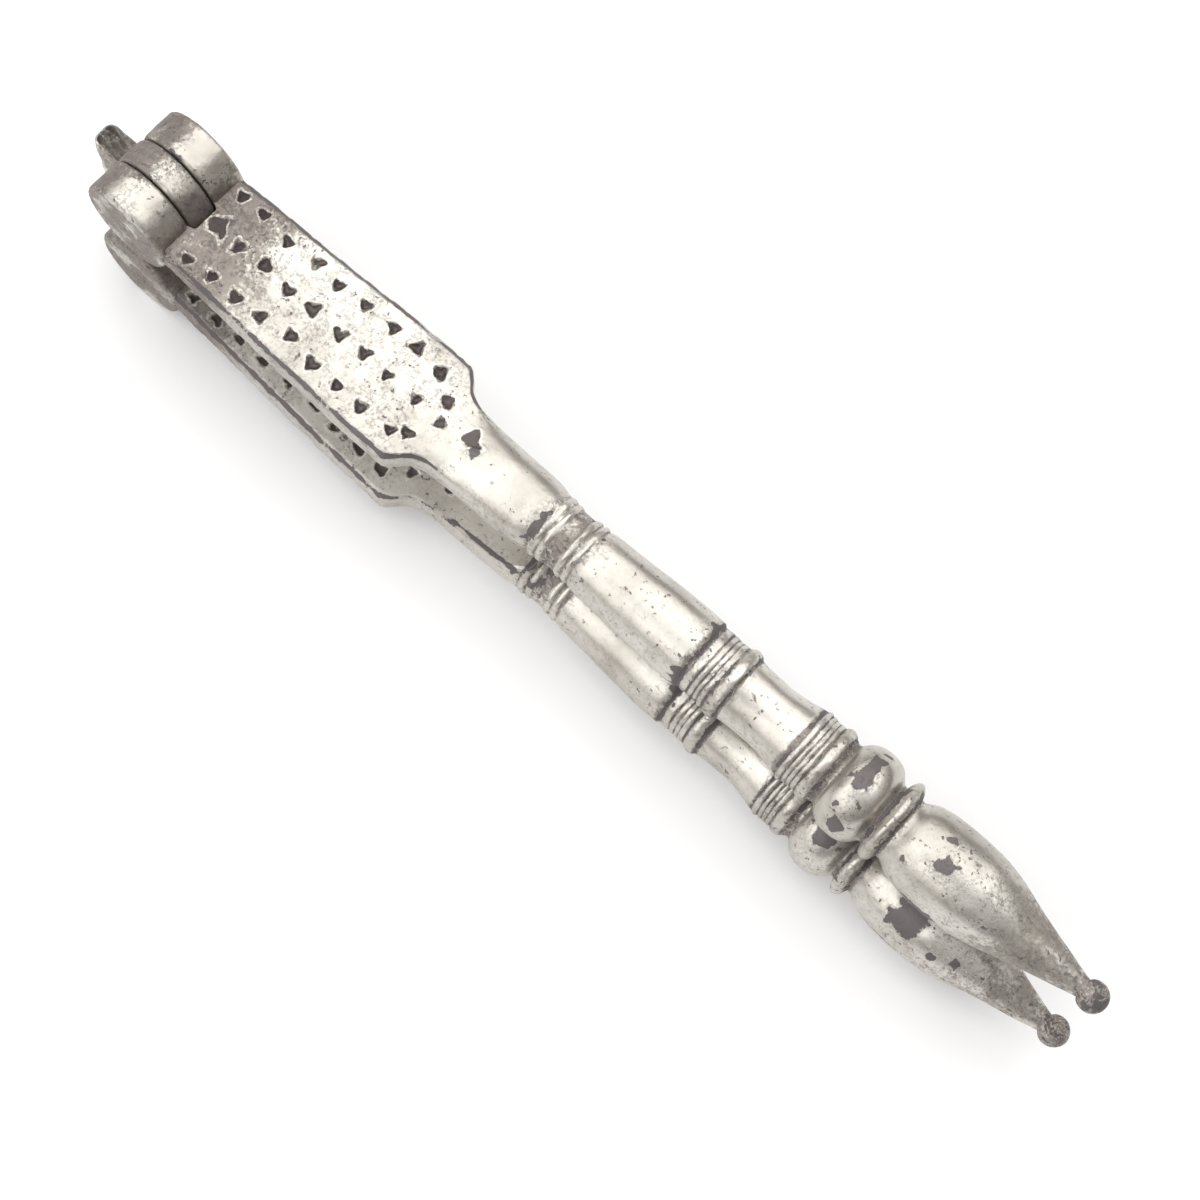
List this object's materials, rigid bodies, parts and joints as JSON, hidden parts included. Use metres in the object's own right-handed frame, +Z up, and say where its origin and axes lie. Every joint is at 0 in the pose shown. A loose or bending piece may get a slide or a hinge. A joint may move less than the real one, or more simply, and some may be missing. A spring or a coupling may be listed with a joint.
{
  "type": "double-hinged nutcracker",
  "caption": "Plated steel nutcracker lying closed: two pitted flat jaws with turned baluster handles, joined by a hinge link with a stop tab.",
  "frame": {"origin": "middle of the footprint, on the surface the closed nutcracker lies on", "axes": "+X along the arms from the hinge to the tips, +Y along the hinge pins, +Z up from the lower arm to the upper arm"},
  "size_m": [0.142, 0.015, 0.0236],
  "materials": {
    "plated_steel": "satin silver-coloured plating, scratched and pitted, flaked to dark steel on edges and in grooves",
    "worn_link_steel": "worn plating with brown tarnish",
    "bare_pin_steel": "ground flush, dull"
  },
  "bodies": {
    "lower_arm": {"lower_arm": "plated_steel", "lower_hinge_pin": "bare_pin_steel"},
    "link": {"hinge_link": "worn_link_steel"},
    "upper_arm": {"upper_arm": "plated_steel", "upper_hinge_pin": "bare_pin_steel"}
  },
  "joints": [
    {"name": "lower_hinge", "type": "hinge", "parent": "lower_arm", "child": "link", "pos_m": [-0.06077, 0, 0.0058], "axis": [0, -1, 0], "range_deg": [0, 158]},
    {"name": "upper_hinge", "type": "hinge", "parent": "link", "child": "upper_arm", "pos_m": [-0.06077, 0, 0.0178], "axis": [0, -1, 0], "range_deg": [0, 158]}
  ]
}
